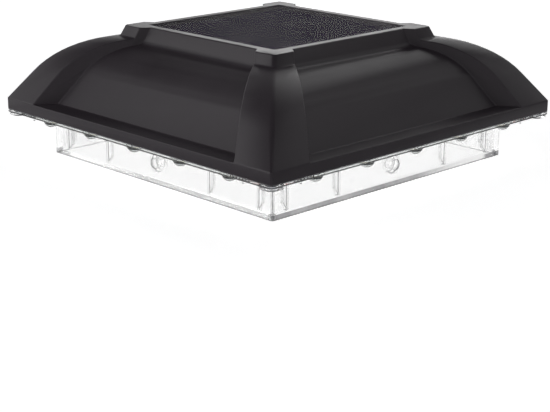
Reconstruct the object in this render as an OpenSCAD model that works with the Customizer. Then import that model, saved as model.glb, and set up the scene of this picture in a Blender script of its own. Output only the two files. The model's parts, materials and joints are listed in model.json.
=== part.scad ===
// Square solar light that caps a fence post: a moulded black roof with a solar panel on top,
// a clear collar that drops over the post and carries twenty small lenses, and the works inside.
// Millimetres, Z up. Origin: centre of the collar's bottom edge, where it would stand on a table.

/* [Post and collar] */
// Width of the square post that the collar drops over
post_w = 139.7; // [134:0.1:146]
// Play between the post and each fin
post_play = 0.35; // [0.2:0.05:1]
// How far the fins stand in from the collar's wall
fin_depth = 2.3; // [1.5:0.1:3]
// Thickness of a fin
fin_t = 1.4; // [1:0.1:2]
// Distance of the inner pair of fins from the middle of a wall
fin_inner_x = 34.8; // [25:0.1:45]
// Gap between the outer pair of fins and the collar's corner
fin_corner_gap = 7.3; // [5:0.1:12]
// Height of the fins above the collar's bottom edge
fin_rise = 2.8; // [2.6:0.1:5]
// Height of the slant that guides the post at the foot of each fin
fin_slant_h = 2.6; // [1:0.1:5]
// Wall thickness of the collar
skirt_wall = 2.0; // [1.6:0.1:2.6]
// Depth of the collar below its flange
skirt_h = 20.0; // [18:0.5:30]
// Height of the lead-in chamfer inside the collar's mouth
lead_in_h = 2.5; // [1.5:0.1:2.6]
// Depth of the lead-in chamfer into the wall
lead_in_w = 1.0; // [0.5:0.1:1.3]
// Thickness of the clear flange
flange_t = 1.5; // [1.4:0.1:2.5]
// Width of the ledge inside the collar's wall, which lies on the post
seat_w = 6.5; // [5:0.1:8]
// Diameter of the four post screw holes
post_hole_d = 4.5; // [3.5:0.1:5]
// Diameter of the boss round each post screw hole
post_boss_d = 8.0; // [7:0.1:10]
// Height of the post screw holes above the collar's bottom edge
post_hole_z = 9.5; // [7:0.1:12]

/* [Lamps] */
// Distance of the lamps from the rim's outer face
lamp_inset = 6.5; // [6:0.1:7]
// Spacing of the five lamps along each side
lamp_pitch = 30.6; // [25:0.1:33]
// Diameter of a lens dome
dome_d = 10.0; // [9:0.1:11]
// How far a lens dome stands down from the flange
dome_h = 2.0; // [1.5:0.1:2.5]
// Diameter of the pocket over each lamp chip
pocket_d = 5.6; // [5.2:0.1:6]
// Width of a lamp strip
strip_w = 7.4; // [6.4:0.1:7.6]
// Thickness of a lamp strip
strip_t = 0.8; // [0.6:0.1:1.2]
// Gap between a lamp strip's end and the rim's outer face
strip_end_gap = 21; // [19:0.5:24]
// Length, width and height of a lamp chip
chip_size = [3.5, 2.8, 0.8];

/* [Roof] */
// Overhang of the rim beyond the collar's wall
eave_w = 15.5; // [15:0.1:18]
// Height of the rim's upright band
rim_h = 5.1; // [4.6:0.1:7]
// Wall thickness of the roof
roof_wall = 2.5; // [2:0.1:3]
// Pitch of the roof just above the rim, degrees
foot_pitch = 55.5; // [52:0.5:58]
// Radius of the hips' crown
hip_crown_r = 39; // [34:0.5:42]
// Pitch of the hips where they reach the neck, degrees
hip_crest = 6; // [4:0.5:9]
// How much tighter the sunk side panels' crown is than the hips'
recess_d = 9.6; // [8:0.2:11]
// Pitch of the side panels where they reach the neck, degrees
side_crest = 10; // [7:0.5:13]
// Width of the ledge between the rim's edge and a side panel
ledge_w = 9.2; // [7:0.1:10]
// Width of a hip at its foot
hip_foot_w = 34.2; // [30:0.2:40]
// Width of a hip at the neck
hip_neck_w = 20; // [16:0.2:24]
// Radius that rounds the corners of the rim and the flange
corner_r = 1.5; // [1:0.1:3]
// Radius that rounds the crests of the hips and the neck's corners
hip_crest_r = 2.2; // [1:0.1:3.5]
// Height of the neck above the hips
neck_h = 5.1; // [4:0.1:7]
// Outward slope of the neck's walls, degrees from upright
neck_draft = 22; // [15:1:28]
// Radius between a side panel and the neck
side_fillet_r = 4.0; // [2:0.1:4.5]
// Radius between a hip and the neck
hip_fillet_r = 1.2; // [0.6:0.1:1.4]
// How far the neck's corners stand out from its sides
corner_step = 4.1; // [2.5:0.1:5]

/* [Solar panel] */
// Width of the square panel
panel_w = 82.7; // [78:0.1:86]
// Play between the panel and its pocket
panel_play = 0.25; // [0.1:0.05:0.5]
// Width of the lip round the panel
lip_w = 4.4; // [3.6:0.1:5]
// How far the panel lies below the lip
panel_drop = 0.35; // [0.2:0.05:1]
// Thickness of the clear cover
cover_t = 1.2; // [0.8:0.1:2]
// Thickness of the cells
cell_t = 0.4; // [0.3:0.1:0.8]
// Gap between neighbouring cells
cell_gap = 0.6; // [0.4:0.1:1.2]
// Number of cells along each side of the panel
cell_count = 2; // [1:1:6]
// Thickness of the backing board
backing_t = 1.4; // [1:0.1:2]
// Thickness of the sealant bead under the panel
sealant_t = 0.5; // [0.3:0.1:1]
// Width of the sealant bead
sealant_w = 4; // [3:0.5:6]
// Thickness of the pocket's floor
pocket_floor = 2.0; // [1.6:0.1:3]
// Diameter of the hole for the panel's leads
lead_hole_d = 7; // [6:0.5:10]

/* [Base plate] */
// Thickness of the base plate
base_t = 2.0; // [1.8:0.1:2.6]
// Gap between the base plate's pan and the collar's seat
pan_gap = 0.3; // [0.2:0.05:0.6]
// Thickness of the seals
seal_t = 0.5; // [0.4:0.1:0.8]
// Gap between the base plate and the lamp strips
base_strip_gap = 1.2; // [0.8:0.1:2]
// Distance of the base plate's screws from its pan's edge
base_screw_inset = 8.7; // [8:0.1:11]
// Diameter of the bosses that take the screws
boss_d = 7; // [6.6:0.1:8]
// Shank diameter of the housing screws
shank_d = 2.6; // [2.4:0.1:3]
// Head diameter of the housing screws
head_d = 5.2; // [4.8:0.1:5.4]
// Head height of the housing screws
head_h = 1.7; // [1.4:0.1:1.8]
// Length of the base plate's screws under the head
base_screw_l = 10; // [8:0.5:14]
// Length of the collar's corner screws under the head
corner_screw_l = 8; // [6:0.5:9]
// Side of the thick pads at the flange's corners
pad_w = 8.5; // [8:0.1:9]
// Radius of the corner pads' corners
pad_r = 3.0; // [2:0.1:3.8]
// How far the corner pads stand down from the flange
pad_h = 1.3; // [1:0.1:1.6]
// Diameter of the small pegs under the flange
peg_d = 1.0; // [0.8:0.1:1.4]
// Height of the small pegs
peg_h = 1.9; // [1:0.1:2.5]
// Distance of the small pegs from the corner along each side
peg_corner_gap = 18.5; // [14:0.5:20]

/* [Battery] */
// Diameter of the battery cell
cell_d = 18.3; // [16:0.1:19]
// Length of the battery cell
cell_l = 65; // [60:0.5:66]
// Distance of the battery bay from the middle of the base plate
bay_y = 18; // [16:0.5:22]
// Play round the cell in its bay
bay_play = 0.5; // [0.4:0.1:1]
// Wall thickness of the bay
bay_wall = 1.8; // [1.4:0.1:2.4]
// Length of the squeezed contact spring
spring_l = 5.0; // [4:0.1:7]
// Thickness of the contact plates
contact_t = 0.5; // [0.3:0.1:0.8]
// Thickness of the battery door
door_t = 2.0; // [1.6:0.1:2.4]
// Thickness of the door's seal
door_seal_t = 1.0; // [0.8:0.1:1.4]
// Width of the door's seal
door_seal_w = 1.6; // [1.2:0.1:2]
// Gap round the battery door
door_gap = 0.3; // [0.2:0.05:0.6]
// Length of the door's screws under the head
door_screw_l = 7; // [5:0.5:9]

/* [Board and switch] */
// Length of the main board
board_l = 50; // [44:1:56]
// Width of the main board
board_w = 34; // [30:1:38]
// Thickness of the main board
board_t = 1.6; // [1:0.1:2]
// Distance of the main board from the middle of the base plate
board_y = 26; // [24:0.5:28]
// Height of the board's posts above the base plate
standoff_h = 5; // [4:0.5:8]
// Length of the slide switch
switch_l = 16; // [14:0.5:20]
// Width of the slide switch
switch_w = 8; // [7:0.5:10]
// Height of the slide switch
switch_h = 6; // [5:0.5:8]
// Travel of the switch's slider each way from its middle position
switch_travel = 2.5; // [1.5:0.1:3]
// Length of the slider's knob
knob_l = 4; // [3:0.1:5]
// Width of the slider's knob
knob_w = 3.2; // [2.4:0.1:4]
// Diameter of the wires with their sleeve
wire_d = 1.1; // [0.9:0.1:1.3]

/* [Hidden] */
$fn = 48;

// Overlap that keeps cuts clean
eps = 0.02;
root2 = sqrt(2);

// Play round a screw's head and shank, and in the hole that its thread bites into
head_play = 0.4;
shank_play = 0.4;
pilot_play = 0.1;
// How far a screw's head lies below the face round it
head_sink = 0.1;
sides = [0, 90, 180, 270];
corner_signs = [[-1, -1], [1, -1], [1, 1], [-1, 1]];

// Half widths, from the post outwards
fin_half = post_w / 2 + post_play;
skirt_in = fin_half + fin_depth;
skirt_out = skirt_in + skirt_wall;
rim_half = skirt_out + eave_w;
seat_in = skirt_in - seat_w;
lamp_half = rim_half - lamp_inset;
strip_l = 2 * (rim_half - strip_end_gap);
fin_outer_x = skirt_in - fin_corner_gap;
corner_screw_x = rim_half - pad_w / 2;
pan_half = seat_in - pan_gap;
base_half = lamp_half - strip_w / 2 - base_strip_gap;
base_screw_x = pan_half - base_screw_inset;
// The base plate's corners clear the wires that link the lamp strips
base_corner_r = 9;

// Heights
rim_z = skirt_h + flange_t;
pocket_depth = chip_size[2] + 0.5;
rim_top_z = rim_z + rim_h;
pan_top_z = skirt_h + base_t;
base_low_z = rim_z + seal_t;
base_top_z = base_low_z + base_t;

// Roof: the straight foot of each curve ends where its crown begins
lip_half = panel_w / 2 + panel_play + lip_w;
plate_half = lip_half + corner_step;
side_foot = rim_half - ledge_w;
side_crown_r = hip_crown_r - recess_d;
// Each curve ends a little outside the neck's fillet, and the neck is taller over the sunk sides
side_sink = 2.8;
hip_end = plate_half + neck_h * tan(neck_draft) + hip_fillet_r * 0.75;
side_end = lip_half + (neck_h + side_sink) * tan(neck_draft) + side_fillet_r * 0.7;
function foot_len(foot, end, crest, r) =
    (foot - end - r * (sin(foot_pitch) - sin(crest))) / cos(foot_pitch);
function crest_z(foot, end, crest, r) =
    rim_top_z + foot_len(foot, end, crest, r) * sin(foot_pitch) + r * (cos(crest) - cos(foot_pitch));
hip_end_z = crest_z(rim_half, hip_end, hip_crest, hip_crown_r);
side_end_z = crest_z(side_foot, side_end, side_crest, side_crown_r);
top_z = hip_end_z + neck_h;
crown_steps = 10;
fillet_steps = 5;

// Panel stack, from the top down
cover_top_z = top_z - panel_drop;
cells_top_z = cover_top_z - cover_t;
backing_top_z = cells_top_z - cell_t;
backing_low_z = backing_top_z - backing_t;
pocket_z = backing_low_z - sealant_t;
cavity_z = pocket_z - pocket_floor;
pocket_half = panel_w / 2 + panel_play;

// Battery bay
door_top_z = skirt_h + door_t;
shelf_z = door_top_z + door_seal_t;
bay_in_l = cell_l + spring_l + 2;
bay_in_w = cell_d + 2 * bay_play;
bay_top_z = shelf_z + cell_d + bay_play;
cell_z = bay_top_z - bay_play - cell_d / 2;
cell_x0 = -bay_in_l / 2 + spring_l + contact_t;
contact_w = 11;
tab_w = 4;
tab_rise = 1.5;
tab_top_z = bay_top_z + bay_wall + tab_rise;
shelf_w = 4;
door_ear = 11;
door_l = bay_in_l + 2 * door_ear;
door_w = bay_in_w + 2 * shelf_w;
door_pad_d = head_d + 1.8;
door_screw_x = bay_in_l / 2 + door_ear - door_pad_d / 2 - 0.9;
door_rib_h = door_seal_t - 0.1;
frame_l = door_l + 2 * door_gap + 2 * bay_wall;
frame_w = door_w + 2 * door_gap + 2 * bay_wall;
frame_top_z = shelf_z + 1.6;

// Board and switch
standoff_z = pan_top_z + standoff_h;
board_top_z = standoff_z + board_t;
standoff_d = 5;
board_hole_inset = 3.5;
board_hole_d = 2.4;
board_hole_spots = [for (s = corner_signs) [s[0] * (board_l / 2 - board_hole_inset),
                                            board_y + s[1] * (board_w / 2 - board_hole_inset)]];
// Board screws: length, shank, head and head height
board_screw_l = 5;
board_shank_d = 2;
board_head_d = 4.4;
board_head_h = 1.4;
// Places of the board's parts, from its middle
chip_at = [-12, 0];
coil_at = [2, -2];
capacitor_at = [14, 8];
socket_x = [-13, 0, 13];
led_lead_x = socket_x[2];
// Lead sockets stand along the board's front edge
socket_size = [7, 5, 4.5];
socket_edge = 1.5;
switch_x = 42;
switch_y = board_y;
slider_l = 6.5;
slider_w = 5;
slider_h = 2.2;
slider_play = 0.15;
knob_drop = base_t - 0.4;
// Room round the knob in its slot, and round the switch in the dish below it
slot_play = 0.5;
dish_h = 0.8;

// Points on an arc whose outward normal turns from pitch a0 to pitch a1
function arc(c, r, a0, a1, n) =
    [for (i = [0 : n]) let (a = a0 + (a1 - a0) * i / n) c + r * [sin(a), cos(a)]];

// Centre of the crown's arc
function crown_centre(foot, end, crest, r) =
    [foot, rim_top_z] + foot_len(foot, end, crest, r) * [-cos(foot_pitch), sin(foot_pitch)]
    - r * [sin(foot_pitch), cos(foot_pitch)];

// Corner where the crest line meets the neck's sloping wall
function neck_corner(end, end_z, crest, neck_half) =
    let (k = tan(neck_draft), c = tan(crest),
         z = (end_z + c * (end - neck_half - top_z * k)) / (1 - c * k))
    [neck_half + (top_z - z) * k, z];

// Centre of the hollow fillet above that corner
function fillet_centre(corner, crest, r) =
    let (n = [sin(crest), cos(crest)] + [cos(neck_draft), sin(neck_draft)],
         d = 1 + sin(crest) * cos(neck_draft) + cos(crest) * sin(neck_draft))
    corner + r * n / d;

// Where the neck's wall, or the fillet below it, stands at height "top"
function neck_x(centre, r, neck_half, set, top) =
    top > centre[1] - r * sin(neck_draft)
    ? neck_half + (top_z - top) * tan(neck_draft) - set / cos(neck_draft)
    : centre[0] - r * sin(acos((centre[1] - top) / r));

// The roof's curve from foot to neck, moved into the wall by "set" and cut off at height "top"
function roof_curve(foot, end, end_z, crest, r, neck_half, fillet, set, top) =
    let (corner = neck_corner(end, end_z, crest, neck_half),
         centre = fillet_centre(corner, crest, fillet),
         bend = arc(centre, -fillet - set, crest, 90 - neck_draft, fillet_steps))
    concat(arc(crown_centre(foot, end, crest, r), r - set, foot_pitch, crest, crown_steps),
           [for (p = bend) if (p[1] < top - 0.1) p],
           [[neck_x(centre, fillet + set, neck_half, set, top), top]]);

// Half sections: hips run up from the rim's edge, side panels from the back of the ledge
function hip_half_section(set, low, top) =
    concat([[rim_half - set, low], [rim_half - set, rim_top_z - set * tan(45 - foot_pitch / 2)]],
           roof_curve(rim_half, hip_end, hip_end_z, hip_crest, hip_crown_r, plate_half,
                      hip_fillet_r, set, top));
function side_half_section(set, low, top) =
    concat([[rim_half - set, low], [rim_half - set, rim_top_z - set],
            [side_foot - set * tan(foot_pitch / 2), rim_top_z - set]],
           roof_curve(side_foot, side_end, side_end_z, side_crest, side_crown_r, lip_half,
                      side_fillet_r, set, top));

function both_sides(half) =
    concat(half, [for (i = [len(half) - 1 : -1 : 0]) [-half[i][0], half[i][1]]]);

module ridge(half, turn) {
    rotate([90, 0, turn])
        linear_extrude(4 * rim_half, center = true)
            polygon(both_sides(half));
}

// A square roof whose every side follows the half section
module four_sided(half) {
    intersection() {
        ridge(half, 0);
        ridge(half, 90);
    }
}

// Plan of the four diagonal hips, narrowed by "set" on each side
module hip_plan(set) {
    neck_r = plate_half / 2;
    grow = (hip_foot_w - hip_neck_w) / (rim_half - hip_end) / 2;
    near = hip_neck_w / 2 - (hip_end - neck_r) * grow - set;
    far = hip_foot_w / 2 + (rim_half * 0.1) * grow - set;
    for (a = sides)
        rotate([0, 0, a + 45])
            polygon([[neck_r * root2, -near], [rim_half * 1.1 * root2, -far],
                     [rim_half * 1.1 * root2, far], [neck_r * root2, near]]);
}

module roof_form(set, low, top) {
    four_sided(side_half_section(set, low, top));
    intersection() {
        four_sided(hip_half_section(set, low, top));
        translate([0, 0, low])
            linear_extrude(top - low + eps)
                hip_plan(set);
    }
}

// Slanted ridges that take the sharp corners off the roof, three planes to each corner
function rounded_half(low, top, turn) =
    [for (p = hip_half_section(0, low, top))
        let (r = p[1] > rim_top_z ? hip_crest_r : corner_r)
        [(p[0] - r) * (abs(cos(turn)) + abs(sin(turn))) + r, p[1]]];
module corner_rounding(low, top)
    intersection_for(turn = [22.5, 45, 67.5, 112.5, 135, 157.5])
        ridge(rounded_half(low, top, turn), turn);

module rounded_square(w, d, r) {
    square([w - 2 * r, d], center = true);
    square([w, d - 2 * r], center = true);
    for (s = corner_signs)
        translate([s[0] * (w / 2 - r), s[1] * (d / 2 - r)])
            circle(r);
}

module plate(w, d, h, r, z) {
    translate([0, 0, z])
        linear_extrude(h)
            rounded_square(w, d, r);
}

module square_ring(out_half, in_half, h, r, z) {
    difference() {
        plate(2 * out_half, 2 * out_half, h, r, z);
        translate([-in_half, -in_half, z - eps])
            cube([2 * in_half, 2 * in_half, h + 2 * eps]);
    }
}

base_screw_spots = concat([for (s = corner_signs) s * base_screw_x],
                          [[0, -base_screw_x], [base_screw_x, 0], [0, base_screw_x], [-base_screw_x, 0]]);
corner_screw_spots = [for (s = corner_signs) s * corner_screw_x];

// Pan-head screw, head down, with its head's top face at z = 0 and a cross recess below
module screw(length, shank = shank_d, head = head_d, height = head_h) {
    difference() {
        union() {
            rotate_extrude()
                polygon([[0, -height], [head / 2 * 0.55, -height], [head / 2 * 0.85, -height * 0.8],
                         [head / 2, -height * 0.45], [head / 2, 0], [0, 0]]);
            translate([0, 0, -eps])
                cylinder(d = shank, h = length + eps - shank * 0.4);
            translate([0, 0, length - shank * 0.4 - eps])
                cylinder(d1 = shank, d2 = shank * 0.4, h = shank * 0.4);
        }
        for (a = [0, 90])
            rotate([0, 0, a])
                translate([-head * 0.28, -head * 0.06, -height - eps])
                    cube([head * 0.56, head * 0.12, height * 0.5]);
    }
}

// Rim seal and its groove sit in the thickness of the rim's wall
rim_groove_w = 1.2;
rim_groove_h = 0.9;
groove_half = rim_half - roof_wall / 2;
groove_r = 2.2;
// The corner bosses end just short of the flange, so that the rim's edge bears on it
corner_boss_gap = 0.2;

module rim_groove(play, low)
    square_ring(groove_half + rim_groove_w / 2 + play, groove_half - rim_groove_w / 2 - play,
                rim_z + rim_groove_h + play - low, groove_r, low);

module roof_cap() color("#2f2e30") {
    boss_top = side_end_z + 5;
    screw_hole = shank_d + pilot_play;
    difference() {
        union() {
            difference() {
                intersection() {
                    union() roof_form(0, rim_z, top_z);
                    corner_rounding(rim_z, top_z);
                }
                roof_form(roof_wall, rim_z - 1, cavity_z);
            }
            intersection() {
                union() {
                    for (p = base_screw_spots)
                        translate([p[0], p[1], base_top_z])
                            cylinder(d = boss_d, h = boss_top - base_top_z);
                    for (p = corner_screw_spots)
                        translate([p[0], p[1], rim_z + corner_boss_gap])
                            cylinder(d = boss_d - 0.6, h = boss_top - rim_z);
                }
                roof_form(roof_wall / 2, rim_z - 1, cavity_z + pocket_floor / 2);
            }
        }
        translate([-pocket_half, -pocket_half, pocket_z])
            cube([2 * pocket_half, 2 * pocket_half, top_z]);
        translate([0, 0, cavity_z - 1])
            cylinder(d = lead_hole_d, h = pocket_floor + 2);
        for (p = base_screw_spots)
            translate([p[0], p[1], base_top_z - eps])
                cylinder(d = screw_hole, h = base_screw_l);
        for (p = corner_screw_spots)
            translate([p[0], p[1], rim_z - eps])
                cylinder(d = screw_hole, h = corner_screw_l);
        rim_groove(0.02, rim_z - 1);
    }
}

module rim_seal() color("#555555") rim_groove(0, rim_z);

module panel_cover() color("#3b3a44")
    translate([-panel_w / 2, -panel_w / 2, cells_top_z])
        cube([panel_w, panel_w, cover_t]);

// Square cells side by side, each a thin dark wafer
cell_margin = 1.6;
module solar_cells() color("#17161d") {
    field = panel_w - 2 * cell_margin;
    wafer = (field - (cell_count - 1) * cell_gap) / cell_count;
    for (i = [0 : cell_count - 1], j = [0 : cell_count - 1])
        translate([-field / 2 + i * (wafer + cell_gap), -field / 2 + j * (wafer + cell_gap), backing_top_z])
            cube([wafer, wafer, cell_t]);
}

module panel_backing() color("#26402e")
    translate([-panel_w / 2, -panel_w / 2, backing_low_z])
        cube([panel_w, panel_w, backing_t]);

module panel_sealant() color("#e4e2dc")
    square_ring(panel_w / 2, panel_w / 2 - sealant_w, sealant_t, 1, pocket_z);

// Clear collar
peg_inset = 2.5;
module lens_dome() {
    ball_r = (dome_d * dome_d / 4 + dome_h * dome_h) / (2 * dome_h);
    intersection() {
        translate([0, 0, ball_r - dome_h])
            sphere(ball_r);
        translate([0, 0, -dome_h - 1])
            cylinder(d = dome_d, h = dome_h + 1 + eps);
    }
}

module lens_collar() color("#dfe6ea", 0.35) {
    difference() {
        union() {
            plate(2 * rim_half, 2 * rim_half, flange_t, corner_r, skirt_h);
            plate(2 * skirt_out, 2 * skirt_out, skirt_h + eps, 1.2, 0);
            for (s = corner_signs)
                translate([s[0] * corner_screw_x, s[1] * corner_screw_x, 0])
                    plate(pad_w, pad_w, pad_h + eps, pad_r, skirt_h - pad_h);
            for (a = sides, i = [-2 : 2])
                rotate([0, 0, a])
                    translate([i * lamp_pitch, -lamp_half, skirt_h])
                        lens_dome();
            for (a = sides, s = [-1, 1])
                rotate([0, 0, a])
                    translate([s * (rim_half - peg_corner_gap), peg_inset - rim_half, skirt_h - peg_h])
                        cylinder(d = peg_d, h = peg_h + eps, $fn = 12);
        }
        translate([-seat_in, -seat_in, -1])
            cube([2 * seat_in, 2 * seat_in, rim_z + 2]);
        translate([-skirt_in, -skirt_in, -1])
            cube([2 * skirt_in, 2 * skirt_in, skirt_h + 1]);
        for (a = sides)
            rotate([0, 0, a]) {
                translate([0, skirt_in, 0])
                    rotate([90, 0, 90])
                        linear_extrude(2 * skirt_in + 2 * lead_in_w, center = true)
                            polygon([[-1, -1], [lead_in_w, -1], [lead_in_w, 0], [0, lead_in_h],
                                     [-1, lead_in_h]]);
                for (i = [-2 : 2])
                    translate([i * lamp_pitch, -lamp_half, rim_z - pocket_depth])
                        cylinder(d = pocket_d, h = pocket_depth + 1);
                translate([0, -skirt_out - 1, post_hole_z])
                    rotate([-90, 0, 0])
                        cylinder(d = post_hole_d, h = 10);
            }
        for (p = corner_screw_spots)
            translate([p[0], p[1], skirt_h - pad_h - 1]) {
                cylinder(d = shank_d + shank_play, h = 10);
                cylinder(d = head_d + head_play, h = 1 + head_h + head_sink);
            }
    }
    for (a = sides)
        rotate([0, 0, a]) {
            for (x = [-fin_outer_x, -fin_inner_x, fin_inner_x, fin_outer_x])
                translate([x, -skirt_in, 0])
                    rotate([90, 0, 90])
                        linear_extrude(fin_t, center = true)
                            polygon([[-eps, fin_rise], [fin_depth, fin_rise + fin_slant_h],
                                     [fin_depth, skirt_h + eps], [-eps, skirt_h + eps]]);
            difference() {
                translate([0, -skirt_in - eps, post_hole_z])
                    rotate([-90, 0, 0])
                        cylinder(d = post_boss_d, h = fin_depth + eps);
                translate([0, -skirt_out - 1, post_hole_z])
                    rotate([-90, 0, 0])
                        cylinder(d = post_hole_d, h = 10);
            }
        }
}

// Lamp strips lie on the flange with their chips looking down into the pockets
module led_strip(turn) color("#e9ece9")
    rotate([0, 0, turn])
        translate([-strip_l / 2, -lamp_half - strip_w / 2, rim_z])
            cube([strip_l, strip_w, strip_t]);

module led_strip_front() led_strip(0);
module led_strip_right() led_strip(90);
module led_strip_back() led_strip(180);
module led_strip_left() led_strip(270);

module led_chips() color("#f3e9a8")
    for (a = sides, i = [-2 : 2])
        rotate([0, 0, a])
            translate([i * lamp_pitch - chip_size[0] / 2, -lamp_half - chip_size[1] / 2,
                       rim_z - chip_size[2]])
                cube(chip_size);

// Each link wire leaves one strip's end and turns round the corner to the next
link_r = lamp_half - strip_l / 2 + 2;
link_z = rim_z + strip_t + wire_d / 2;
module strip_link_wires() color("#b8322a")
    for (a = [0, 90, 180])
        rotate([0, 0, a])
            translate([lamp_half - link_r, -lamp_half + link_r, link_z])
                rotate([0, 0, -90])
                    rotate_extrude(angle = 90)
                        translate([link_r, 0])
                            circle(d = wire_d, $fn = 16);

// A round wire swept along its points
function unit(v) = v / norm(v);
function tangent(p, i) = unit(p[min(i + 1, len(p) - 1)] - p[max(i - 1, 0)]);
function tangents(p) = [for (i = [0 : len(p) - 1]) tangent(p, i)];
function side_of(t) = unit(cross(t, abs(t[0]) < 0.9 ? [1, 0, 0] : [0, 1, 0]));
function wire_ring(c, t, r, n) =
    let (u = side_of(t), w = cross(t, u))
    [for (k = [0 : n - 1]) c + r * (cos(360 * k / n) * u + sin(360 * k / n) * w)];
module wire(points, along, r, n) {
    m = len(points);
    polyhedron([for (i = [0 : m - 1]) for (p = wire_ring(points[i], along[i], r, n)) p],
               concat([[for (k = [0 : n - 1]) k]], [[for (k = [n - 1 : -1 : 0]) (m - 1) * n + k]],
                      [for (i = [0 : m - 2]) for (k = [0 : n - 1])
                          [i * n + k, (i + 1) * n + k, (i + 1) * n + (k + 1) % n,
                           i * n + (k + 1) % n]]));
}

// The hand-made route with a point added on the curve between each pair of points
function eased(p) =
    let (m = len(p) - 1)
    concat([for (i = [0 : m - 1]) each [p[i],
                (9 * (p[i] + p[i + 1]) - p[max(i - 1, 0)] - p[min(i + 2, m)]) / 16]],
           [p[m]]);
// A lead's end rings are square to the route's first and last stretch
module lead(route) {
    m = len(route) - 1;
    points = eased(route);
    turns = tangents(points);
    wire(points, [for (i = [0 : 2 * m]) i == 0 ? unit(route[1] - route[0])
                                        : i == 2 * m ? unit(route[m] - route[m - 1]) : turns[i]],
         wire_d / 2, 8);
}

// Base plate
module bay_cut(w, d, z0, z1) {
    translate([-w / 2, -d / 2 - bay_y, z0])
        cube([w, d, z1 - z0]);
}

notch_w = 6;
notch_d = 3;
module base_plate() color("#e4e5e3") {
    difference() {
        union() {
            difference() {
                union() {
                    plate(2 * base_half, 2 * base_half, base_t, base_corner_r, base_low_z);
                    plate(2 * pan_half, 2 * pan_half, base_low_z - skirt_h + eps, 2, skirt_h);
                }
                plate(2 * (pan_half - base_t), 2 * (pan_half - base_t), base_top_z, 1, pan_top_z);
            }
            for (p = base_screw_spots)
                translate([p[0], p[1], pan_top_z - eps])
                    cylinder(d = boss_d + 2, h = base_top_z - pan_top_z + eps);
            bay_cut(frame_l, frame_w, skirt_h, frame_top_z);
            bay_cut(bay_in_l + 2 * bay_wall, bay_in_w + 2 * bay_wall, skirt_h, bay_top_z + bay_wall);
            for (s = [-1, 1])
                translate([s * door_screw_x, -bay_y, shelf_z])
                    cylinder(d = boss_d - 0.6, h = door_screw_l + 1);
            for (p = board_hole_spots)
                translate([p[0], p[1], pan_top_z - eps])
                    cylinder(d = standoff_d, h = standoff_h + eps);
        }
        bay_cut(door_l + 2 * door_gap, door_w + 2 * door_gap, skirt_h - 1, shelf_z);
        bay_cut(bay_in_l, bay_in_w, skirt_h - 1, bay_top_z);
        for (s = [-1, 1])
            translate([s * door_screw_x, -bay_y, shelf_z - eps])
                cylinder(d = shank_d + pilot_play, h = door_screw_l - 0.5);
        for (s = [-1, 1])
            translate([s * (bay_in_l / 2 - contact_t / 2), -bay_y, bay_top_z + bay_wall / 2])
                cube([contact_t + 0.2, tab_w + 0.4, bay_wall + 1], center = true);
        for (p = board_hole_spots)
            translate([p[0], p[1], board_top_z - board_screw_l - 0.5])
                cylinder(d = board_shank_d + pilot_play, h = board_screw_l + 1);
        for (p = base_screw_spots)
            translate([p[0], p[1], skirt_h - 1]) {
                cylinder(d = shank_d + shank_play, h = 10);
                cylinder(d = head_d + head_play, h = 1 + head_h + head_sink);
            }
        translate([switch_x, switch_y, skirt_h])
            cube([knob_l + 2 * switch_travel + 2 * slot_play, knob_w + 2 * slot_play, 2 * base_t + 2],
                 center = true);
        translate([switch_x, switch_y, skirt_h])
            cube([switch_l + 4 * slot_play, switch_w + 2 * slot_play, 2 * dish_h], center = true);
        translate([led_lead_x - notch_w / 2, base_half - notch_d, base_low_z - 1])
            cube([notch_w, notch_d + 1, base_t + 2]);
    }
}

module base_seal() color("#555555")
    square_ring(skirt_in - 1, seat_in + 1, seal_t, 3, rim_z);

module base_screws() color("silver")
    for (p = base_screw_spots)
        translate([p[0], p[1], skirt_h + head_h + head_sink])
            screw(base_screw_l);

module collar_screws() color("silver")
    for (p = corner_screw_spots)
        translate([p[0], p[1], skirt_h - pad_h + head_h + head_sink])
            screw(corner_screw_l);

// Main board and what is soldered to it
module main_board() color("#1f6b3b")
    difference() {
        translate([-board_l / 2, board_y - board_w / 2, standoff_z])
            cube([board_l, board_w, board_t]);
        for (p = board_hole_spots)
            translate([p[0], p[1], standoff_z - 1])
                cylinder(d = board_hole_d, h = board_t + 2);
    }

module board_screws() color("silver")
    for (p = board_hole_spots)
        translate([p[0], p[1], board_top_z])
            mirror([0, 0, 1])
                screw(board_screw_l, board_shank_d, board_head_d, board_head_h);

// Puts a board part's middle at its place on the board
module on_board(place)
    translate([place[0], board_y + place[1], board_top_z])
        children();

// Eight-legged chip
chip_body = [4, 5, 1.5];
chip_leg = [1.1, 0.5, 0.7];
leg_pitch = 1.27;
module controller_chip() color("#202022")
    on_board(chip_at) {
        translate([-chip_body[0] / 2, -chip_body[1] / 2, 0])
            cube(chip_body);
        for (s = [-1, 1], i = [-1.5 : 1.5])
            translate([s * (chip_body[0] / 2 + 0.4) - chip_leg[0] / 2, i * leg_pitch - chip_leg[1] / 2, 0])
                cube(chip_leg);
    }

// Wound coil between two flanges
coil_h = 5;
coil_flange_d = 8;
coil_flange_t = 1;
module power_coil() color("#6b5a45")
    on_board(coil_at) {
        cylinder(d = coil_flange_d, h = coil_flange_t);
        cylinder(d = coil_flange_d - 1.6, h = coil_h);
        translate([0, 0, coil_h - coil_flange_t])
            cylinder(d = coil_flange_d, h = coil_flange_t);
    }

// Upright can with a rolled groove near its foot
can_d = 6.3;
can_h = 9;
module capacitor() color("#23262e")
    on_board(capacitor_at)
        rotate_extrude()
            polygon([[0, 0], [can_d / 2, 0], [can_d / 2, 1], [can_d / 2 - 0.4, 1.4], [can_d / 2, 1.8],
                     [can_d / 2, can_h - 0.4], [can_d / 2 - 0.4, can_h], [0, can_h]]);

module lead_sockets() color("#eeeae0")
    for (x = socket_x)
        translate([x - socket_size[0] / 2, board_y - board_w / 2 + socket_edge, board_top_z])
            cube(socket_size);

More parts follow.
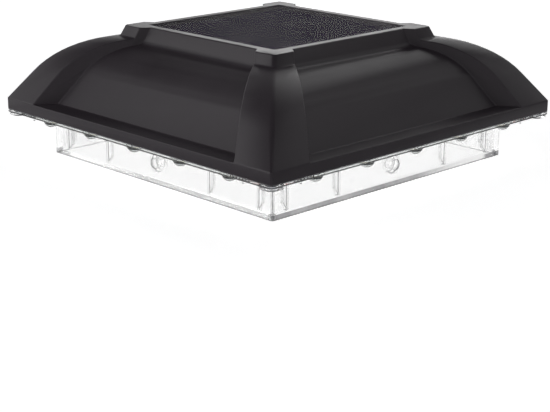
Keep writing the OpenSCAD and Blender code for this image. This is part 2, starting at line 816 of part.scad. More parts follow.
// Slide switch: the body stands on the pan, its knob reaches down into a slot
module switch_body() color("#c9cccf")
    difference() {
        translate([switch_x - switch_l / 2, switch_y - switch_w / 2, pan_top_z])
            cube([switch_l, switch_w, switch_h]);
        translate([switch_x, switch_y, pan_top_z])
            cube([slider_l + 2 * switch_travel + 2 * slider_play, slider_w + 2 * slider_play,
                  2 * (slider_h + 2 * slider_play)], center = true);
    }
module switch_slider() color("#f2f2f2")
    union() {
        translate([switch_x, switch_y, pan_top_z + slider_play + slider_h / 2])
            cube([slider_l, slider_w, slider_h], center = true);
        translate([switch_x - knob_l / 2, switch_y - knob_w / 2, pan_top_z - knob_drop])
            cube([knob_l, knob_w, knob_drop + slider_play + eps]);
    }

// Battery cell and its contacts
cell_edge = 0.8;
cell_button_r = 3.2;
cell_button_h = 1.6;
module battery_cell() color("#3f7fc4")
    translate([cell_x0, -bay_y, cell_z])
        rotate([0, 90, 0])
            rotate_extrude()
                polygon([[0, 0], [cell_d / 2 - cell_edge, 0], [cell_d / 2, cell_edge],
                         [cell_d / 2, cell_l - cell_button_h - cell_edge],
                         [cell_d / 2 - cell_edge, cell_l - cell_button_h],
                         [cell_button_r, cell_l - cell_button_h], [cell_button_r, cell_l], [0, cell_l]]);

module contact_tab(s) {
    x = s * (bay_in_l / 2 - contact_t / 2);
    translate([x, -bay_y, cell_z])
        cube([contact_t, contact_w, contact_w], center = true);
    translate([x - contact_t / 2, -bay_y - tab_w / 2, cell_z])
        cube([contact_t, tab_w, tab_top_z - cell_z]);
}

module contact_plate() color("#d9d9d4") {
    contact_tab(1);
    translate([cell_x0 + cell_l, -bay_y, cell_z])
        rotate([0, 90, 0])
            cylinder(d = 5, h = bay_in_l / 2 - contact_t - cell_x0 - cell_l + eps);
}

// Coned spring: its turns widen from the cell to the tab
spring_wire_d = 0.8;
spring_turns = 3.5;
module contact_spring() color("#d9d9d4") {
    contact_tab(-1);
    steps = 14 * spring_turns;
    reach = spring_l - spring_wire_d;
    x0 = -bay_in_l / 2 + contact_t + spring_wire_d / 2 - 0.1;
    path = [for (i = [0 : steps]) let (f = i / steps, a = 360 * spring_turns * f, r = 4.6 - 1.8 * f)
            [x0 + reach * f, -bay_y + r * cos(a), cell_z + r * sin(a)]];
    wire(path, tangents(path), spring_wire_d / 2, 6);
}

// Leads, with their routes as points chosen by hand. Each ends square on a socket or a tab
pair_x = [-0.8, 0.8];
socket_y = board_y - board_w / 2 + socket_edge + socket_size[1] / 2;
socket_top_z = board_top_z + socket_size[2];
socket_end = [[0, socket_y + 1.5, socket_top_z + 4.5], [0, socket_y, socket_top_z + 1.5],
              [0, socket_y, socket_top_z]];
// Height of the leads over the bay, and the middle of a contact tab
lead_z = tab_top_z + 1.9;
tab_x = bay_in_l / 2 - contact_t / 2;

module led_lead() color("#2b2b2e")
    for (x = pair_x)
        translate([led_lead_x + x, 0, 0])
            lead(concat([[0, lamp_half - 1, link_z], [0, lamp_half - 2.6, link_z + 0.1],
                         [0, lamp_half - 4.4, link_z + 0.6], [0, base_half - 1.6, base_top_z + 0.2],
                         [0, base_half - 4.6, base_top_z + 3], [0, pan_half + 2.3, base_top_z + 8],
                         [0, pan_half - 7.7, base_top_z + 14], [0, board_y + 20, base_top_z + 18],
                         [0, board_y + 6, lead_z - 4], [0, socket_y + 7, lead_z - 6]], socket_end));

module panel_lead() color("#b8322a")
    for (x = pair_x)
        translate([x, 0, 0])
            lead(concat([[0, 0, backing_low_z], [0, 0, backing_low_z - 4],
                         [0, 2, (backing_low_z + socket_top_z) / 2 + 2.5],
                         [0, socket_y - 6, socket_top_z + 8.9]], socket_end));

module battery_leads() color("#b8322a") {
    lead(concat([[tab_x, -bay_y, tab_top_z], [tab_x, -bay_y, tab_top_z + 1.2],
                 [tab_x - 2.4, 1.6 - bay_y, lead_z], [tab_x - 10, 5 - bay_y, lead_z],
                 [tab_x / 4, 9 - bay_y, lead_z], [socket_x[0] + 9, 14 - bay_y, lead_z - 0.8],
                 [socket_x[0] + 3, socket_y - 9, lead_z - 5.5]],
                [for (p = socket_end) p + [socket_x[0] + pair_x[1], 0, 0]]));
    lead(concat([[-tab_x, -bay_y, tab_top_z], [-tab_x, -bay_y, tab_top_z + 1.2],
                 [1.9 - tab_x, 3 - bay_y, lead_z], [5.8 - tab_x, 8 - bay_y, lead_z - 0.6],
                 [12 - tab_x, 15 - bay_y, lead_z - 3], [socket_x[0] - 5, socket_y - 9, lead_z - 6]],
                [for (p = socket_end) p + [socket_x[0] + pair_x[0], 0, 0]]));
}

// Battery door with its seal and screws
module battery_door() color("#e4e5e3")
    difference() {
        translate([0, -bay_y, 0]) {
            plate(door_l, door_w, door_t, 2, skirt_h);
            for (s = [-1, 1]) {
                translate([s * door_screw_x, 0, door_top_z - eps])
                    cylinder(d = door_pad_d, h = door_rib_h + eps);
                translate([s * cell_l / 4 - 1, -bay_in_w / 2 + 1, door_top_z - eps])
                    cube([2, bay_in_w - 2, door_rib_h + eps]);
            }
        }
        for (s = [-1, 1])
            translate([s * door_screw_x, -bay_y, skirt_h - 1]) {
                cylinder(d = shank_d + shank_play, h = 10);
                cylinder(d = head_d + head_play, h = 1 + head_h + head_sink);
            }
    }

module door_seal() color("#555555")
    difference() {
        bay_cut(bay_in_l + 1 + 2 * door_seal_w, bay_in_w + 1 + 2 * door_seal_w, door_top_z, shelf_z);
        bay_cut(bay_in_l + 1, bay_in_w + 1, door_top_z - 1, shelf_z + 1);
    }

module door_screws() color("silver")
    for (s = [-1, 1])
        translate([s * door_screw_x, -bay_y, skirt_h + head_h + head_sink])
            screw(door_screw_l);

roof_cap();
rim_seal();
panel_cover();
solar_cells();
panel_backing();
panel_sealant();
lens_collar();
led_strip_front();
led_strip_right();
led_strip_back();
led_strip_left();
led_chips();
strip_link_wires();
led_lead();
base_plate();
base_seal();
base_screws();
collar_screws();
main_board();
board_screws();
controller_chip();
power_coil();
capacitor();
lead_sockets();
switch_body();
switch_slider();
battery_cell();
contact_plate();
contact_spring();
battery_leads();
panel_lead();
battery_door();
door_seal();
door_screws();
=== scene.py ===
"""Looks of a square solar light that caps a fence post, built round its fixed CAD frame.

Metres, Z up, in the frame's own axes: the collar stands on z = 0 and the panel is on top.
"""

import json
import math
import bmesh
import bpy
from mathutils import Matrix, Quaternion, Vector

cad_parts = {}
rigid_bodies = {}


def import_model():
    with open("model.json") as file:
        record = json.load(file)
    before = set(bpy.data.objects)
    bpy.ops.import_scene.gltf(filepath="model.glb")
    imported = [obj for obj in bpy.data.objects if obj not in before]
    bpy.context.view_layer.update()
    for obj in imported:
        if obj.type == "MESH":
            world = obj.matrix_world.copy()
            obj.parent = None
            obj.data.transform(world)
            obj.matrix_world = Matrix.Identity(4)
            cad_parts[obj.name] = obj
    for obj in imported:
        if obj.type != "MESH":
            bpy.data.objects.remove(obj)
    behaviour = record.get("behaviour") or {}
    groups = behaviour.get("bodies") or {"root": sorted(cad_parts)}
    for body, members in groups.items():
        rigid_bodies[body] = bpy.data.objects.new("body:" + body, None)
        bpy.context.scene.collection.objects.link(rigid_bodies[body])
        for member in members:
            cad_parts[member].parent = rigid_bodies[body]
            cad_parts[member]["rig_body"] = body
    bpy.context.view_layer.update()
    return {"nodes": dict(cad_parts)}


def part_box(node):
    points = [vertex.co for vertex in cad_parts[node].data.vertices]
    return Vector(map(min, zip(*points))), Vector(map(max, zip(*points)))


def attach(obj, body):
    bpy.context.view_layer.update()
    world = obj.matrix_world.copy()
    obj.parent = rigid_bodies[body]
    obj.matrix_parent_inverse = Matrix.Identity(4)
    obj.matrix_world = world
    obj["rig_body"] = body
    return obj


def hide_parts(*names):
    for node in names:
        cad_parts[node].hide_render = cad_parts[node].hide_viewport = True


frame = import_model()
nodes = frame["nodes"]
MM = 0.001

# Camera, at the photograph's viewing angle
CAMERA_AT = (0.4604, -0.4451, 0.1737)
LOOKS_AT = (0.0137, -0.0144, -0.0199)
CAMERA_ROLL = math.radians(0.068)
LENS = 91.45
SENSOR_WIDTH = 36
NEAREST = 0.01

# Light levels: 1 is the level at which a colour renders about as it is written
WHITE = (1, 1, 1, 1)
WORLD_LEVEL = 0.17
FLOOR_GLOW = 0.72
# The floor: half its width, its colour, and the distances between which it turns plain white
FLOOR_HALF = 30.0
FLOOR_COLOR = (0.86, 0.86, 0.87)
FLOOR_ROUGHNESS = 0.9
FLOOR_WHITENS = (0.3, 1.0)
# The most of it that shows plain white through clear plastic, and the share of that in reflections
FLOOR_WHITE = 0.97
FLOOR_MIRRORED = 0.4
# Reflections show the white backdrop up to the first of these rises, and a dim ceiling above the second
BACKDROP_RISE = (0.28, 0.55)
CEILING_LEVEL = 0.1
# Behind and to the right, reflections show a grey screen instead, and less of the floor
SCREEN_LEVEL = 0.32
SCREEN_TURN = (0.7, 1.15)
FLOOR_DIMS = (-0.1, 0.6)
FLOOR_SCREENED = 0.3
# Softboxes: name, place, the point that each one faces, width, height and watts
SOFTBOXES = (
    ("low key", (-0.5, -2.0, 0.1), (0, 0, 0.04), 1.6, 0.5, 4.5),
    ("high key", (-1.1, -1.5, 0.8), (0, 0, 0.04), 1.4, 1.2, 9.5),
    ("side", (1.8, -0.3, 0.9), (0, 0, 0.04), 1.2, 1.0, 1.6),
    ("right back", (1.05, 1.5, 1.4), (0, 0, 0.04), 1.4, 1.0, 3.0),
    ("back", (-0.62, 1.45, 1.35), (0, 0, 0.04), 1.1, 0.7, 3.6),
    ("low back", (-1.55, 2.14, 0.72), (0, 0, 0.05), 1.5, 0.3, 4.9),
)

# The usual spread of the grain's slow patches, a narrower one for tone, and how far they turn the gloss
PATCHES = (0.3, 0.7)
TONE_PATCHES = (0.35, 0.65)
GLOSS_TURN = 0.05
# Painted edge highlight: how wide it is, between which cosines of the rounded normal, and how much paler
EDGE_HIGHLIGHT_WIDTH = 0.6 * MM
EDGE_HIGHLIGHT_TURN = (0.99, 0.86)
EDGE_HIGHLIGHT_GAIN = 1.8
EDGE_HIGHLIGHT_LIFT = 0.02

# The roof's and the base's plastic
ROOF_DARK = (0.041, 0.034, 0.041)
ROOF_LIGHT = (0.050, 0.042, 0.050)
ROOF_ROUGHNESS = 0.38
BASE_DARK = (0.73, 0.74, 0.72)
BASE_LIGHT = (0.79, 0.80, 0.78)
BASE_ROUGHNESS = 0.55

# Clear collar: body tint, and painted shade on its rounded edges, lead-in band, lens domes and their rings
CLEAR_IOR = 1.5
CLEAR_BODY = (0.985, 0.99, 0.995)
CLEAR_EDGE_SHADE = (0.02, 0.02, 0.022)
LEAD_IN_SHADE = (0.06, 0.06, 0.063)
LENS_SHADE = (0.62, 0.62, 0.63)
LENS_RING_SHADE = (0.004, 0.004, 0.005)
# How many times paler the painted edge shade turns in patches
EDGE_PALER = 4
# The share of each that is seen straight through, the slants between which that ends, and the share of
# lamp light that passes
CLEAR_SHARE = 0.72
EDGE_SHARE = 0.08
BAND_SHARE = 0.15
LENS_SHARE = 0.4
SLANTS = (0.6, 0.95)
LAMPLIGHT_SHARE = 0.92
# Over this height below the flange, the edges' share falls to nothing
EDGE_FADE = 3 * MM
# The skirt's outer face and the top of its lead-in
SKIRT_FACE = 74.2 * MM
LEAD_IN_TOP = 2.5 * MM
# Painted shade on the lead-in: how the patches turn it, how it fades away from two corners and to what,
# where it is full again near every corner, and its share on the front and the back
BAND_PATCHES = (0.38, 0.62)
BAND_UNEVEN = (0.92, 1.0)
BAND_FADE = (15 * MM, 60 * MM)
BAND_FAINT = 0.1
BAND_CORNER = (60 * MM, 64 * MM)
BAND_ALONG = 0.82
# The flange's thickness; painted shade: a dark line along its foot and fine ribs on its edge near the
# corners
FLANGE_THICK = 1.5 * MM
FLANGE_LINE = 0.55 * MM
RIBBED = (66.5 * MM, 78 * MM)
RIB_PITCH = 1.8 * MM
RIB_WIDTH = 1.1 * MM
# Lamps on either side of each row's middle one, their pitch, and the radius and rings of their lens domes
LAMPS_BESIDE = 2
LAMP_PITCH = 30.6 * MM
DOME_RADIUS = 5.0 * MM
RING_PITCH = 2.0 * MM
RING_EDGE = (0.18 * RING_PITCH, 0.32 * RING_PITCH)
# How much the finished lens domes deepen, and how far they lean outwards for each millimetre of depth
DOME_DEEPEN = 1.65
DOME_LEAN = 0.6
# The corner pads reach in to the first of these, and touch the rim's line past the second
PAD_INNER = 81.0 * MM
PAD_OUTER = 88.5 * MM
# Past these lie the flange's own lower edges, and the short arcs at the rim's corners
FLANGE_EDGE_FROM = PAD_INNER - 2 * MM
RIM_CORNER = 85.0 * MM

# Lines of the solar cells: fine fingers, their strength beside the wider rails, and both in the colour
FINGER_PITCH = 1.6 * MM
FINGER_WIDTH = 0.12 * MM
FINGER_SHARE = 0.3
RAIL_PITCH = 20.0 * MM
RAIL_WIDTH = 0.7 * MM
CELL_LINES = 0.12
# Bare metal at the battery cell's ends, the coil's flanges, and half the pitch of its wire
CELL_END_LOW = 0.6 * MM
CELL_END_HIGH = 2.6 * MM
COIL_FLANGE = 1.02 * MM
COIL_HALF_TURN = 0.2 * MM

# Widths of the rounded edges
ROOF_EDGE = 0.5 * MM
COLLAR_EDGE = 0.6 * MM
THIN_EDGE_SHARE = 0.5
SMALL_EDGE = 0.25 * MM
TINY_EDGE = 0.12 * MM
# Past these angles shading breaks, an edge is rounded, a collar's edge is, and two faces don't merge
SMOOTH_ANGLE = math.radians(30)
EDGE_ANGLE = math.radians(24)
CLEAR_EDGE_ANGLE = math.radians(35)
FLAT_ANGLE = math.radians(0.4)
# How near points have to be to merge, and the slacks in telling the flange's lower face and the domes
MERGE_DISTANCE = 0.001 * MM
LEVEL_SLACK = 0.01 * MM
DOME_SLACK = 0.02 * MM
FACE_SLACK = 0.1 * MM
# Places of the collar's extra finishes in its list of materials
EDGE_SLOT = 1
LENS_SLOT = 2
# Places of a Mix node's two colours, and of the colour that it puts out
COLOR_INPUTS = (6, 7)
COLOR_OUTPUT = 2

strip_low, strip_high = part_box("led_strip_front")
FLANGE_LOW = strip_low.z - FLANGE_THICK
LAMP_LINE = -(strip_low.y + strip_high.y) / 2


def group_number(tree, name, in_out, default=None):
    """Adds a named number to a node group's inputs or outputs."""
    made = tree.interface.new_socket(name=name, in_out=in_out, socket_type="NodeSocketFloat")
    if default is not None:
        made.default_value = default


def add_node(tree, kind, **values):
    """Adds a shader node and sets its options, or its inputs where the name is an input's."""
    made = tree.nodes.new(kind)
    for key, value in values.items():
        if hasattr(made, key):
            setattr(made, key, value)
        else:
            made.inputs[key.replace("_", " ")].default_value = value
    return made


def math_node(tree, operation, *values):
    """Adds a Math node whose inputs are numbers or sockets, and returns its output."""
    made = add_node(tree, "ShaderNodeMath", operation=operation)
    for place, value in enumerate(values):
        if isinstance(value, (int, float)):
            made.inputs[place].default_value = value
        else:
            tree.links.new(value, made.inputs[place])
    return made.outputs[0]


def blend_colors(tree, share, first, second):
    """Mixes two colours, given as triples or sockets, by a share's socket, and returns the result's."""
    made = add_node(tree, "ShaderNodeMix", data_type="RGBA")
    tree.links.new(share, made.inputs[0])
    for place, value in zip(COLOR_INPUTS, (first, second)):
        if isinstance(value, tuple):
            made.inputs[place].default_value = (*value, 1)
        else:
            tree.links.new(value, made.inputs[place])
    return made.outputs[COLOR_OUTPUT]


def mix_shaders(tree, share, first, second):
    """Mixes two shaders, all three given as sockets, and returns the result's socket."""
    made = tree.nodes.new("ShaderNodeMixShader")
    for place, socket in enumerate((share, first, second)):
        tree.links.new(socket, made.inputs[place])
    return made.outputs[0]


def ranged(tree, value, low, high, to_low, to_high):
    """Maps a value from one range to another, clamped."""
    made = add_node(tree, "ShaderNodeMapRange")
    tree.links.new(value, made.inputs["Value"])
    for name, number in (("From Min", low), ("From Max", high), ("To Min", to_low), ("To Max", to_high)):
        made.inputs[name].default_value = number
    return made.outputs[0]


def moulded_grain_group():
    """Fine spark-eroded grain of moulded plastic, and slow patches for tone and gloss."""
    tree = bpy.data.node_groups.new("moulded grain", "ShaderNodeTree")
    group_number(tree, "Grain Scale", "INPUT", 1600.0)
    group_number(tree, "Patch Scale", "INPUT", 22.0)
    group_number(tree, "Height", "OUTPUT")
    group_number(tree, "Patches", "OUTPUT")
    inward = tree.nodes.new("NodeGroupInput")
    outward = tree.nodes.new("NodeGroupOutput")
    place = tree.nodes.new("ShaderNodeTexCoord")
    grain = add_node(tree, "ShaderNodeTexNoise", Detail=3.0, Roughness=0.6)
    patches = add_node(tree, "ShaderNodeTexNoise", Detail=4.0, Roughness=0.55)
    for texture, scale in ((grain, "Grain Scale"), (patches, "Patch Scale")):
        tree.links.new(place.outputs["Object"], texture.inputs["Vector"])
        tree.links.new(inward.outputs[scale], texture.inputs["Scale"])
    tree.links.new(grain.outputs[0], outward.inputs["Height"])
    tree.links.new(patches.outputs[0], outward.inputs["Patches"])
    return tree


def painted_edge_highlight_group():
    """Mask that is 1 where a highlight is painted on edges: where the rounded normal leaves the true one.
    """
    tree = bpy.data.node_groups.new("painted edge highlight", "ShaderNodeTree")
    group_number(tree, "Width", "INPUT", EDGE_HIGHLIGHT_WIDTH)
    group_number(tree, "Mask", "OUTPUT")
    inward = tree.nodes.new("NodeGroupInput")
    outward = tree.nodes.new("NodeGroupOutput")
    rounded = add_node(tree, "ShaderNodeBevel", samples=4)
    true_normal = tree.nodes.new("ShaderNodeNewGeometry")
    cosine = add_node(tree, "ShaderNodeVectorMath", operation="DOT_PRODUCT")
    tree.links.new(inward.outputs["Width"], rounded.inputs["Radius"])
    tree.links.new(rounded.outputs[0], cosine.inputs[0])
    tree.links.new(true_normal.outputs["Normal"], cosine.inputs[1])
    mask = ranged(tree, cosine.outputs["Value"], *EDGE_HIGHLIGHT_TURN, 0.0, 1.0)
    tree.links.new(mask, outward.inputs["Mask"])
    return tree


GRAIN = moulded_grain_group()
EDGE_HIGHLIGHT = painted_edge_highlight_group()


class Finish:
    """One material: a Principled shader and short ways to feed it."""

    def __init__(self, name, color, roughness, **constants):
        self.material = bpy.data.materials.new(name)
        self.material.use_nodes = True
        self.tree = self.material.node_tree
        self.shader = self.tree.nodes["Principled BSDF"]
        self.output = self.tree.nodes["Material Output"]
        self.shader.inputs["Base Color"].default_value = (*color, 1)
        self.shader.inputs["Roughness"].default_value = roughness
        for key, value in constants.items():
            self.shader.inputs[key.replace("_", " ")].default_value = value

    def feed(self, name, socket):
        """Links a socket to one of the shader's inputs."""
        self.tree.links.new(socket, self.shader.inputs[name])

    def group(self, tree, **values):
        """Places a node group with this material's own values."""
        made = self.tree.nodes.new("ShaderNodeGroup")
        made.node_tree = tree
        for key, value in values.items():
            made.inputs[key.replace("_", " ")].default_value = value
        return made

    def bump(self, height, strength, distance):
        """Bumps the surface by a height."""
        made = add_node(self.tree, "ShaderNodeBump", Strength=strength, Distance=distance)
        self.tree.links.new(height, made.inputs["Height"])
        self.feed("Normal", made.outputs[0])

    def point(self):
        """The point on the piece."""
        return self.tree.nodes.new("ShaderNodeTexCoord").outputs["Object"]

    def axes(self):
        """The point on the piece, split into x, y and z."""
        apart = self.tree.nodes.new("ShaderNodeSeparateXYZ")
        self.tree.links.new(self.point(), apart.inputs[0])
        return apart.outputs

    def texture(self, kind, **values):
        """Adds a texture that is fixed to the piece."""
        made = add_node(self.tree, kind, **values)
        self.tree.links.new(self.point(), made.inputs["Vector"])
        return made

    def work(self, operation, *values):
        """The output of a Math node in this material."""
        return math_node(self.tree, operation, *values)

    def product(self, first, *others):
        """All the values multiplied."""
        for value in others:
            first = self.work("MULTIPLY", first, value)
        return first

    def ranged(self, value, *limits):
        """A value mapped from one range to another, clamped."""
        return ranged(self.tree, value, *limits)

    def blend(self, share, first, second):
        """Two colours mixed."""
        return blend_colors(self.tree, share, first, second)


def moulded(name, dark, light, rough, grain_scale=1600.0, grain_height=0.03 * MM, edge_highlight=0.25, specular=0.22):
    """Moulded plastic: grain, slow patches of tone and gloss, and a faint painted highlight on rounded
    edges.
    """
    made = Finish(name, dark, rough, Specular_IOR_Level=specular)
    grain = made.group(GRAIN, Grain_Scale=grain_scale)
    toned = made.blend(made.ranged(grain.outputs["Patches"], *TONE_PATCHES, 0.0, 1.0), dark, light)
    # Paler rounded edges: a painted highlight
    highlight_share = made.product(made.group(EDGE_HIGHLIGHT).outputs["Mask"], edge_highlight)
    pale = tuple(min(1.0, EDGE_HIGHLIGHT_GAIN * c + EDGE_HIGHLIGHT_LIFT) for c in light)
    made.feed("Base Color", made.blend(highlight_share, toned, pale))
    gloss = (rough - GLOSS_TURN, rough + GLOSS_TURN)
    made.feed("Roughness", made.ranged(grain.outputs["Patches"], *PATCHES, *gloss))
    made.bump(grain.outputs["Height"], 0.35, grain_height)
    return made.material


def collar_place(made, x, y):
    """Distances outwards from the axis and sideways from the middle of the nearest side."""
    across = made.work("ABSOLUTE", x)
    along = made.work("ABSOLUTE", y)
    return made.work("MAXIMUM", across, along), made.work("MINIMUM", across, along)


def stripes(made, along, pitch, width, offset=0.0):
    """Mask of straight lines, one each pitch along a coordinate."""
    turn = made.work("PINGPONG", made.work("ADD", along, offset), pitch / 2)
    return made.work("LESS_THAN", turn, width / 2)


def dome_rings(made, x, y, z):
    """Mask of the fine rings moulded in each lens dome, five along every side."""
    outward, sideways = collar_place(made, x, y)
    folded = made.work("PINGPONG", made.work("ADD", sideways, LAMP_PITCH / 2), LAMP_PITCH)
    from_lamp = made.work("SUBTRACT", folded, LAMP_PITCH / 2)
    leant = made.product(made.work("SUBTRACT", FLANGE_LOW, z), DOME_LEAN)
    from_line = made.work("SUBTRACT", outward, made.work("ADD", leant, LAMP_LINE))
    square = made.work("ADD", made.product(from_lamp, from_lamp), made.product(from_line, from_line))
    radius = made.work("SQRT", square)
    inside = made.work("LESS_THAN", radius, DOME_RADIUS)
    below = made.work("LESS_THAN", z, FLANGE_LOW - DOME_SLACK)
    ring = made.ranged(made.work("PINGPONG", radius, RING_PITCH / 2), *RING_EDGE, 1.0, 0.0)
    return made.product(ring, inside, below)


def painted_lead_in_shade(made, x, y, z, patches):
    """Painted shade on the skirt's lead-in, on its outer face only."""
    outward, sideways = collar_place(made, x, y)
    from_inside = made.tree.nodes.new("ShaderNodeNewGeometry").outputs["Backfacing"]
    in_band = made.product(made.work("LESS_THAN", z, LEAD_IN_TOP),
                           made.work("GREATER_THAN", outward, SKIRT_FACE),
                           made.work("SUBTRACT", 1.0, from_inside))
    diagonal = made.work("ABSOLUTE", made.work("SUBTRACT", x, y))
    fading = made.product(made.ranged(patches, *BAND_PATCHES, *BAND_UNEVEN),
                          made.ranged(diagonal, *BAND_FADE, BAND_FAINT, 1.0))
    grey = made.work("MAXIMUM", fading, made.ranged(sideways, *BAND_CORNER, 0.0, 1.0))
    on_side = made.work("GREATER_THAN", made.work("ABSOLUTE", x), SKIRT_FACE)
    return made.product(in_band, grey, made.ranged(on_side, 0.0, 1.0, BAND_ALONG, 1.0))


def painted_flange_shade(made, x, y, z):
    """Mask of painted shade: a dark line along the flange's foot, and ribs on its edge near the corners."""
    outward, sideways = collar_place(made, x, y)
    on_edge = made.product(made.work("GREATER_THAN", z, FLANGE_LOW - FACE_SLACK),
                           made.work("GREATER_THAN", outward, PAD_OUTER))
    low_line = made.work("LESS_THAN", z, FLANGE_LOW + FLANGE_LINE)
    ribs = made.product(stripes(made, sideways, RIB_PITCH, RIB_WIDTH),
                        made.work("GREATER_THAN", sideways, RIBBED[0]),
                        made.work("LESS_THAN", sideways, RIBBED[1]))
    return made.product(on_edge, made.work("MAXIMUM", low_line, ribs))


def see_through(made, share):
    """Lets a share of every ray straight through, less where the wall slants away, and most lamp light."""
    ray = made.tree.nodes.new("ShaderNodeLightPath")
    slant = made.tree.nodes.new("ShaderNodeLayerWeight")
    clear = made.tree.nodes.new("ShaderNodeBsdfTransparent")
    share = made.product(share, made.ranged(slant.outputs["Facing"], *SLANTS, 1.0, 0.0))
    lamps = made.work("MAXIMUM", ray.outputs["Is Shadow Ray"], ray.outputs["Is Diffuse Ray"])
    passed = made.work("MAXIMUM", made.product(lamps, LAMPLIGHT_SHARE), share)
    held = made.work("SUBTRACT", 1.0, passed)
    mixed = mix_shaders(made.tree, held, clear.outputs[0], made.shader.outputs[0])
    made.tree.links.new(mixed, made.output.inputs[0])


def clear_plastic():
    """Polished clear plastic, with painted shade on its lead-in and a painted dark line along the flange's
    lower edge.
    """
    made = Finish("clear plastic", CLEAR_BODY, 0.03,
                  IOR=CLEAR_IOR, Transmission_Weight=1.0, Specular_IOR_Level=0.2)
    x, y, z = made.axes()
    patches = made.group(GRAIN, Patch_Scale=40.0).outputs["Patches"]
    band = painted_lead_in_shade(made, x, y, z, patches)
    line = painted_flange_shade(made, x, y, z)
    # Painted shade: the lead-in band is tinted grey
    tone = made.blend(band, CLEAR_BODY, LEAD_IN_SHADE)
    # Painted shade: a dark line and ribs on the flange's edge
    made.feed("Base Color", made.blend(line, tone, CLEAR_EDGE_SHADE))
    made.feed("Roughness", made.ranged(patches, *PATCHES, 0.01, 0.05))
    banded = made.ranged(band, 0.0, 1.0, CLEAR_SHARE, BAND_SHARE)
    see_through(made, made.product(banded, made.work("SUBTRACT", 1.0, line)))
    return made.material


def clear_lens():
    """Same plastic in the lens domes, with painted shade: grey, darker on the fine rings that bend light
    away.
    """
    made = Finish("clear lens painted shade", LENS_SHADE, 0.05,
                  IOR=CLEAR_IOR, Transmission_Weight=1.0, Specular_IOR_Level=0.05)
    rings = dome_rings(made, *made.axes())
    # Painted shade: grey domes with dark rings
    made.feed("Base Color", made.blend(rings, LENS_SHADE, LENS_RING_SHADE))
    see_through(made, made.ranged(rings, 0.0, 1.0, LENS_SHARE, 0.0))
    return made.material


def clear_edge():
    """The same plastic on its rounded edges, painted dark grey as shade for the light that they bend away.
    """
    made = Finish("clear edge painted shade", CLEAR_EDGE_SHADE, 0.06,
                  IOR=CLEAR_IOR, Transmission_Weight=1.0, Specular_IOR_Level=0.05)
    _, _, z = made.axes()
    patches = made.group(GRAIN, Patch_Scale=260.0).outputs["Patches"]
    # Painted shade: the rounded edges are dark grey, paler in patches
    made.feed("Base Color", made.blend(patches, CLEAR_EDGE_SHADE, tuple(EDGE_PALER * c for c in CLEAR_EDGE_SHADE)))
    see_through(made, made.ranged(z, FLANGE_LOW - EDGE_FADE, FLANGE_LOW, EDGE_SHARE, 0.0))
    return made.material


def panel_laminate():
    """Clear laminate over the cells: mostly see-through, with a satin film on top."""
    made = Finish("panel laminate", (0.09, 0.06, 0.12), 0.28, Specular_IOR_Level=0.3)
    grain = made.group(GRAIN, Grain_Scale=900.0, Patch_Scale=35.0)
    made.feed("Roughness", made.ranged(grain.outputs["Patches"], *PATCHES, 0.24, 0.34))
    made.bump(grain.outputs["Height"], 0.2, 0.02 * MM)
    made.shader.inputs["Alpha"].default_value = 0.08
    made.material.surface_render_method = "DITHERED"
    return made.material


def cell_wafer():
    """Dark cells with fine metal fingers and wider collecting lines across them."""
    made = Finish("solar cell", (0.010, 0.009, 0.016), 0.32, Specular_IOR_Level=0.0)
    x, y, _ = made.axes()
    fingers = made.product(stripes(made, x, FINGER_PITCH, FINGER_WIDTH), FINGER_SHARE)
    rails = stripes(made, y, RAIL_PITCH, RAIL_WIDTH, RAIL_PITCH / 2)
    crystal = made.texture("ShaderNodeTexVoronoi", Scale=160.0)
    crystals = made.ranged(crystal.outputs["Distance"], 0.0, 0.6, 0.0, 1.0)
    tone = made.blend(crystals, (0.014, 0.008, 0.023), (0.018, 0.011, 0.029))
    lines = made.product(made.work("MAXIMUM", fingers, rails), CELL_LINES)
    made.feed("Base Color", made.blend(lines, tone, (0.22, 0.20, 0.26)))
    return made.material


def rubber(name, dark, light):
    """Matt rubber or sealant with a fine grain."""
    made = Finish(name, dark, 0.75, Specular_IOR_Level=0.3)
    grain = made.group(GRAIN, Grain_Scale=2400.0, Patch_Scale=60.0)
    made.feed("Base Color", made.blend(grain.outputs["Patches"], dark, light))
    made.bump(grain.outputs["Height"], 0.4, 0.04 * MM)
    return made.material


def metal(name, color, rough):
    """Plated metal with fine scratches and dull patches."""
    made = Finish(name, color, rough, Metallic=1.0)
    scratches = made.texture("ShaderNodeTexNoise", Scale=900.0, Detail=2.0, Distortion=2.0).outputs[0]
    patches = made.group(GRAIN, Patch_Scale=180.0).outputs["Patches"]
    dull = tuple(0.75 * c for c in color)
    made.feed("Base Color", made.blend(patches, dull, color))
    made.feed("Roughness", made.ranged(scratches, *PATCHES, rough - 0.08, rough + 0.12))
    made.bump(scratches, 0.15, 0.02 * MM)
    return made.material


def circuit_board():
    """Green solder mask with raised tracks and tinned pads."""
    made = Finish("circuit board", (0.012, 0.11, 0.045), 0.3)
    tracks = made.texture("ShaderNodeTexBrick", Scale=220.0, Mortar_Size=0.03).outputs["Fac"]
    wander = made.texture("ShaderNodeTexVoronoi", Scale=300.0, feature="DISTANCE_TO_EDGE")
    pads = made.ranged(wander.outputs["Distance"], 0.45, 0.5, 0.0, 1.0)
    masked = made.blend(tracks, (0.010, 0.10, 0.04), (0.02, 0.19, 0.075))
    made.feed("Base Color", made.blend(pads, masked, (0.6, 0.6, 0.58)))
    made.feed("Metallic", pads)
    made.bump(tracks, 0.4, 0.03 * MM)
    return made.material


def strip_board():
    """White solder mask of the lamp strips, with faint tracks under it."""
    made = Finish("strip board", (0.78, 0.80, 0.79), 0.4)
    tracks = made.texture("ShaderNodeTexBrick", Scale=120.0, Mortar_Size=0.05).outputs["Fac"]
    made.feed("Base Color", made.blend(tracks, (0.80, 0.82, 0.81), (0.68, 0.71, 0.69)))
    made.bump(tracks, 0.3, 0.02 * MM)
    return made.material


